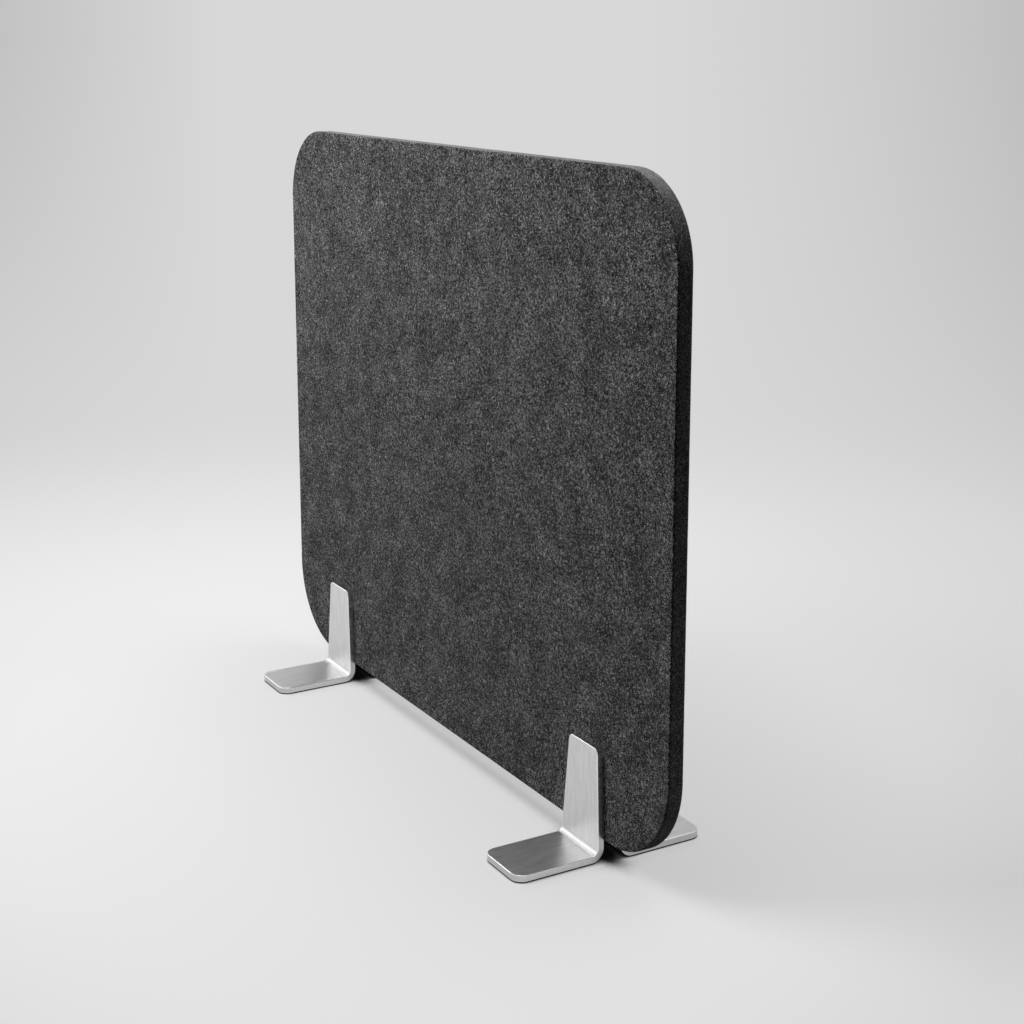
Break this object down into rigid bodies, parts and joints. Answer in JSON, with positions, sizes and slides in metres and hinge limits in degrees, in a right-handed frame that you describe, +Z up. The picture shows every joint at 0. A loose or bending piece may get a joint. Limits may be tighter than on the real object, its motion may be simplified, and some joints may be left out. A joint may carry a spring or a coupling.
{
  "type": "acoustic divider screen",
  "caption": "Free-standing acoustic desk divider: a felt board with rounded corners, clamped upright between bent L-shaped metal feet.",
  "frame": {"origin": "on the table top, under the middle of the board's length and thickness", "axes": "+X along the board to its right end seen from the front, +Y to the rear, +Z up; the front face looks towards -Y"},
  "size_m": [0.6, 0.154, 0.488],
  "materials": {
    "felt": "pressed fibre felt, charcoal with paler flecks",
    "brushed_metal": "fine brushed, clear anodised",
    "foot_pad": "matt black",
    "fixing_steel": "plain stainless"
  },
  "bodies": {
    "root": {"felt_board": "felt", "front_left_bracket": "brushed_metal", "front_right_bracket": "brushed_metal", "rear_left_bracket": "brushed_metal", "rear_right_bracket": "brushed_metal", "front_left_pad": "foot_pad", "front_right_pad": "foot_pad", "rear_left_pad": "foot_pad", "rear_right_pad": "foot_pad", "left_lower_barrel": "fixing_steel", "left_upper_barrel": "fixing_steel", "right_lower_barrel": "fixing_steel", "right_upper_barrel": "fixing_steel", "left_lower_screw": "fixing_steel", "left_upper_screw": "fixing_steel", "right_lower_screw": "fixing_steel", "right_upper_screw": "fixing_steel"}
  },
  "joints": []
}
